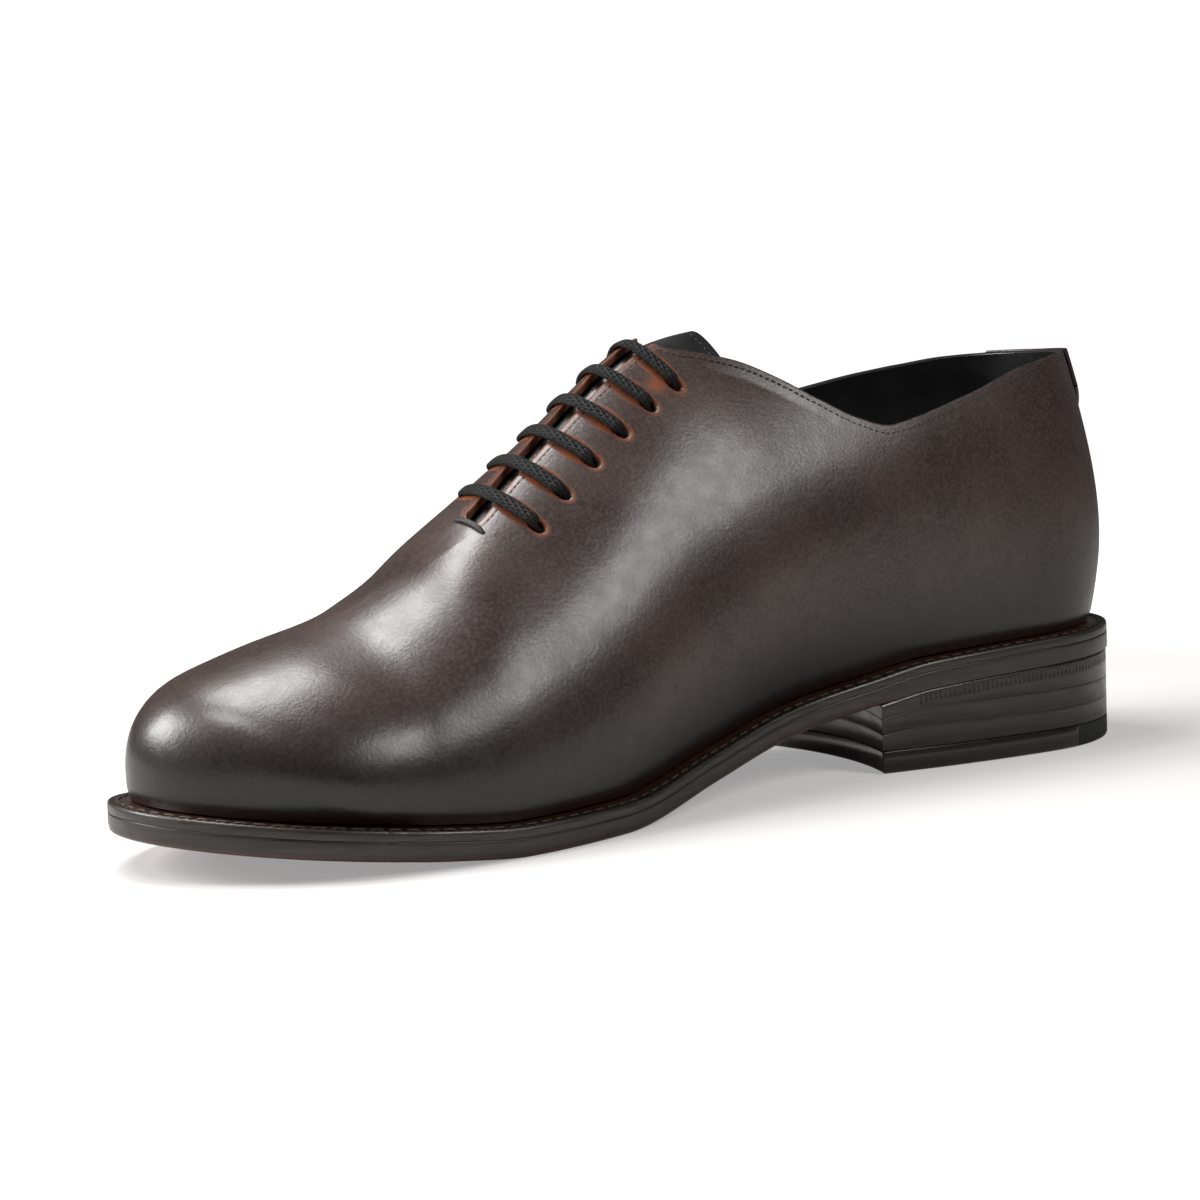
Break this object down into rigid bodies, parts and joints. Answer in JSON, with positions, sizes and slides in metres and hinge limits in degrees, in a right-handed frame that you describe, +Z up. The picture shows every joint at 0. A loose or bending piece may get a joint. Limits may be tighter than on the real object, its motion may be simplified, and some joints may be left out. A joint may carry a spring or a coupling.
{
  "type": "oxford shoe",
  "caption": "Whole cut leather oxford, right shoe: one-piece upper open at collar and throat, laced tongue, welt, leather sole and stacked heel with a split top piece.",
  "frame": {"origin": "on the floor, under the middle of the sole's outline", "axes": "+X to the toe, +Y to the inner side of the foot, +Z up"},
  "size_m": [0.3016, 0.1016, 0.1199],
  "materials": {
    "upper": "satin, burnished dark towards the welt, tan at cut edges",
    "heel_tab": "satin",
    "tongue": "gloss",
    "lace": "braided, waxed",
    "welt": "wheeled and stitched",
    "insole": "matt",
    "outsole": "polished brown underside, near-black edge",
    "heel_stack": "polished near-black stack",
    "top_piece_leather": "polished brown with nail heads",
    "top_piece_rubber": "matt"
  },
  "bodies": {
    "root": {"upper": "upper", "heel_tab": "heel_tab", "tongue": "tongue", "welt": "welt", "insole": "insole", "outsole": "outsole", "heel_lift_1": "heel_stack", "heel_lift_2": "heel_stack", "heel_lift_3": "heel_stack", "heel_top_piece_leather": "top_piece_leather", "heel_top_piece_rubber": "top_piece_rubber", "lace_bar_1": "lace", "lace_bar_2": "lace", "lace_bar_3": "lace", "lace_bar_4": "lace", "lace_bar_5": "lace", "lace_bar_6": "lace"}
  },
  "joints": []
}
